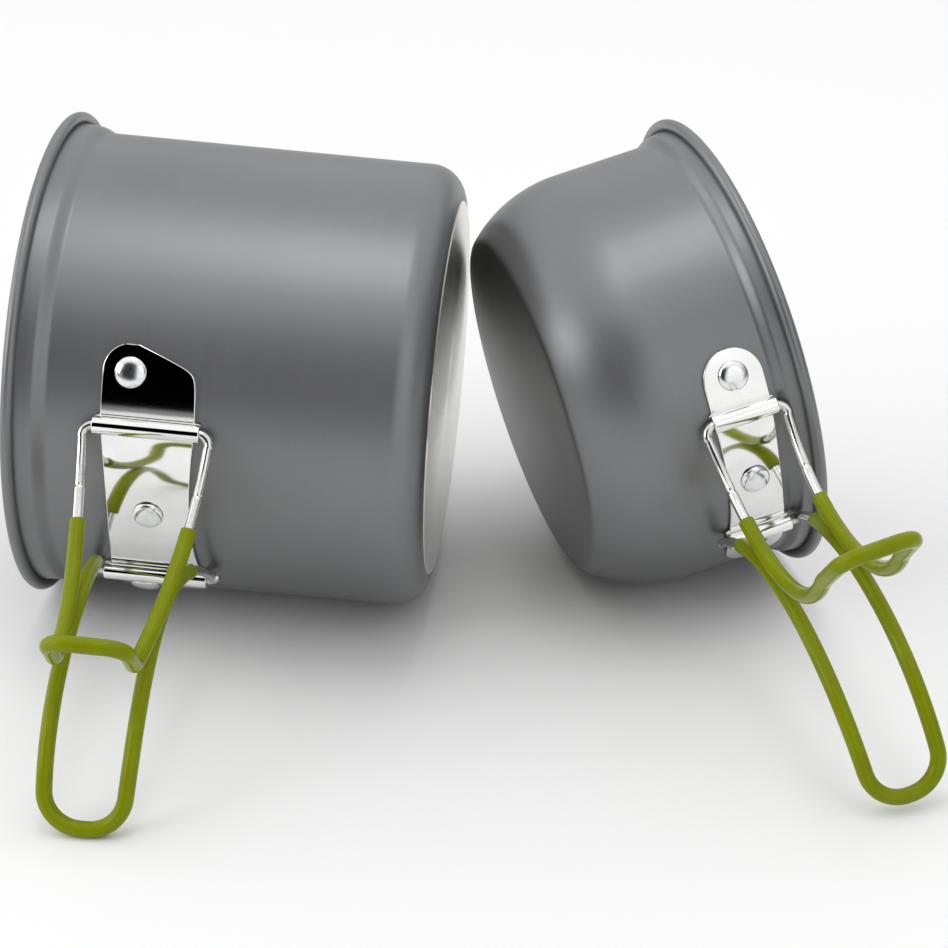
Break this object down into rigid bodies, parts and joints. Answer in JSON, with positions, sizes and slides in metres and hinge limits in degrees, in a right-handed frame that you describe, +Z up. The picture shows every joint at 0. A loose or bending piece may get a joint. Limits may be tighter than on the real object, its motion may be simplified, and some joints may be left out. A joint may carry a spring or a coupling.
{
  "type": "camping cooking pot set",
  "caption": "Tall pot and shallow pot lying base to base, each with a rolled rim, a riveted steel bracket and two folding sleeved wire handle loops.",
  "frame": {"origin": "middle of the bounding box, on the floor the pots lie on", "axes": "+Z up, +X from the tall pot to the shallow pot, -Y towards the handles"},
  "size_m": [0.2376, 0.2116, 0.1318],
  "materials": {
    "anodised_aluminium": "satin dark grey hard-anodised, bare fine-turned base on the tall pot",
    "bracket_steel": "mirror polished stainless",
    "rivet_steel": "polished stainless",
    "wire_steel": "bright drawn stainless",
    "handle_sleeve": "glossy soft PVC"
  },
  "bodies": {
    "large_pot": {"large_pot_shell": "anodised_aluminium", "large_handle_bracket": "bracket_steel", "large_rivet_upper": "rivet_steel", "large_rivet_middle": "rivet_steel", "large_rivet_lower": "rivet_steel"},
    "large_upper_handle": {"large_upper_wire": "wire_steel", "large_upper_sleeve": "handle_sleeve"},
    "large_lower_handle": {"large_lower_wire": "wire_steel", "large_lower_sleeve": "handle_sleeve"},
    "small_pot": {"small_pot_shell": "anodised_aluminium", "small_handle_bracket": "bracket_steel", "small_rivet_upper": "rivet_steel", "small_rivet_middle": "rivet_steel", "small_rivet_lower": "rivet_steel"},
    "small_upper_handle": {"small_upper_wire": "wire_steel", "small_upper_sleeve": "handle_sleeve"},
    "small_lower_handle": {"small_lower_wire": "wire_steel", "small_lower_sleeve": "handle_sleeve"}
  },
  "joints": [
    {"name": "large_upper_handle_hinge", "type": "hinge", "parent": "large_pot", "child": "large_upper_handle", "pos_m": [-0.07996, -0.0312, 0.07408], "axis": [-0.9932, 0.1019, 0.0562], "range_deg": [0, 152.5]},
    {"name": "large_lower_handle_hinge", "type": "hinge", "parent": "large_pot", "child": "large_lower_handle", "pos_m": [-0.08141, -0.0181, 0.02472], "axis": [0.9932, -0.1019, -0.0562], "range_deg": [0, 158]},
    {"name": "small_pot_apart", "type": "slide", "parent": "large_pot", "child": "small_pot", "axis": [1, 0, 0], "range_m": [0, 0.15]},
    {"name": "small_upper_handle_hinge", "type": "hinge", "parent": "small_pot", "child": "small_upper_handle", "pos_m": [0.07292, -0.01865, 0.07213], "axis": [-0.9369, -0.2786, -0.2113], "range_deg": [0, 141]},
    {"name": "small_lower_handle_hinge", "type": "hinge", "parent": "small_pot", "child": "small_lower_handle", "pos_m": [0.07919, -0.01068, 0.03383], "axis": [0.9369, 0.2786, 0.2113], "range_deg": [0, 147]}
  ]
}
